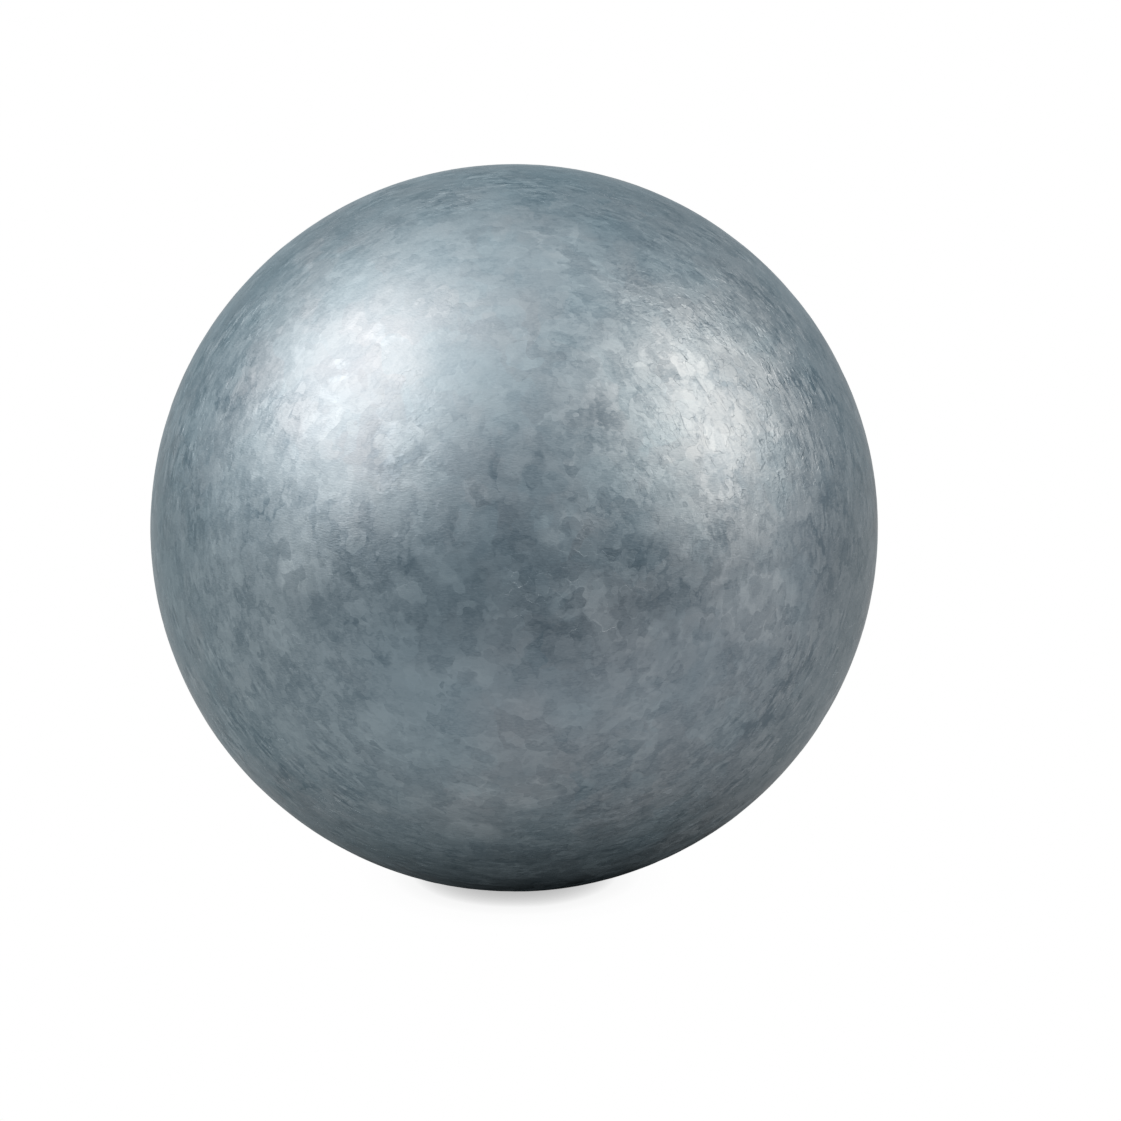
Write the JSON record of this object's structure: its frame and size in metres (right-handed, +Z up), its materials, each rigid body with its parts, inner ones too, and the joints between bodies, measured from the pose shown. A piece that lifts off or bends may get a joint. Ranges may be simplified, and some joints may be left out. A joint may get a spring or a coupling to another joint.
{
  "type": "steel ball",
  "caption": "Solid round steel ball with a satin, mottled blue-grey surface and no flat, bore or seam.",
  "frame": {"origin": "centre of the ball", "axes": "+Z up; every diameter is an axis of symmetry, and -Z points at the spot that the ball is carried on"},
  "size_m": [0.05, 0.05, 0.05],
  "materials": {
    "mottled_steel": "satin, unpolished, with a mottled blue-grey skin"
  },
  "bodies": {
    "root": {"ball": "mottled_steel"}
  },
  "joints": []
}
